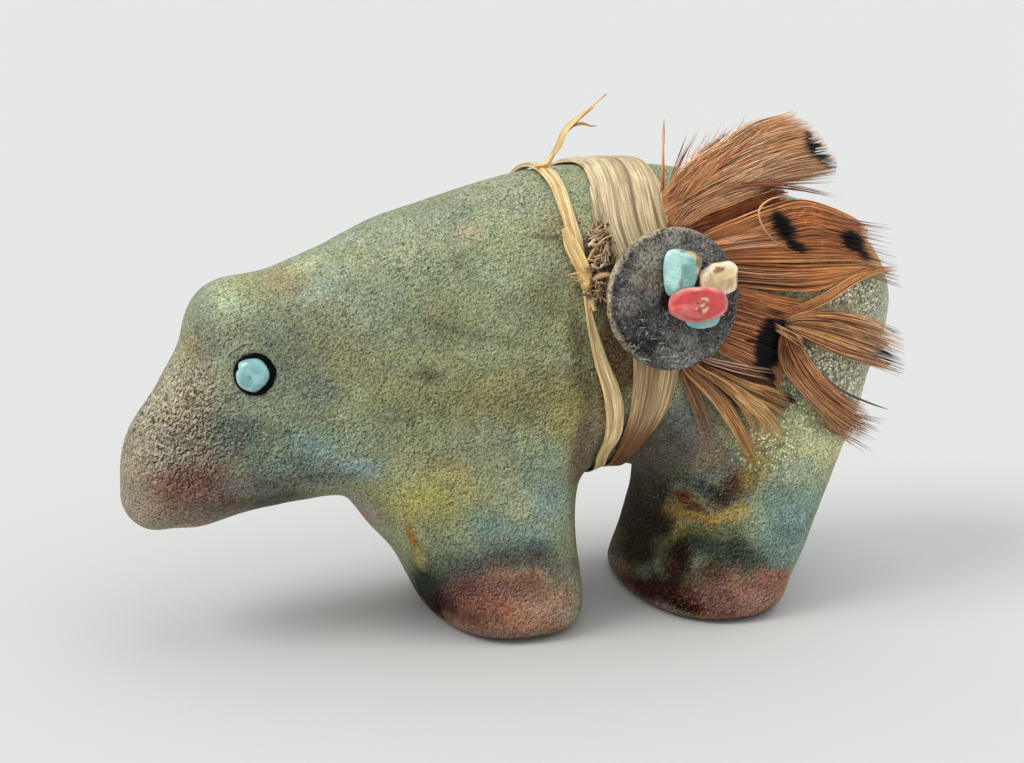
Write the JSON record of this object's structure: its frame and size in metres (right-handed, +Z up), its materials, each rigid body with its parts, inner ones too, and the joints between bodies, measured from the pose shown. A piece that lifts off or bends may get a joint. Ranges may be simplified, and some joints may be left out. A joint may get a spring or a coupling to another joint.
{
  "type": "pottery bear figure",
  "caption": "Small standing bear of smoke-fired clay with inlaid stone eyes and a raffia-bound bundle of stone disc, chips and feathers on its flank.",
  "frame": {"origin": "on the ground, under the middle of the bear's outer box", "axes": "+Z up; +X from the nose toward the rump; the decorated flank faces -Y"},
  "size_m": [0.103, 0.0427, 0.0684],
  "materials": {
    "raku_clay": "matte copper raku, sage green shading to teal, rust and gold",
    "turquoise": "polished",
    "raffia": "dry fibrous tan raffia",
    "straw_raffia": "dry fibrous straw raffia",
    "dark_stone": "rough unpolished",
    "citrine": "polished, clear yellow",
    "coral": "polished",
    "feather": "copper-brown barbs with black spots",
    "down": "loose brown down"
  },
  "bodies": {
    "root": {"bear_body": "raku_clay", "eye_left": "turquoise", "eye_right": "turquoise", "wide_raffia_strap": "raffia", "raffia_tie": "straw_raffia", "stone_disc": "dark_stone", "turquoise_chip": "turquoise", "turquoise_chip_lower": "turquoise", "citrine_chip": "citrine", "coral_chip": "coral", "feather_crest": "feather", "feather_upper": "feather", "feather_middle": "feather", "feather_patch": "feather", "feather_lower": "feather", "feather_drop": "feather", "down_tuft": "down"}
  },
  "joints": []
}
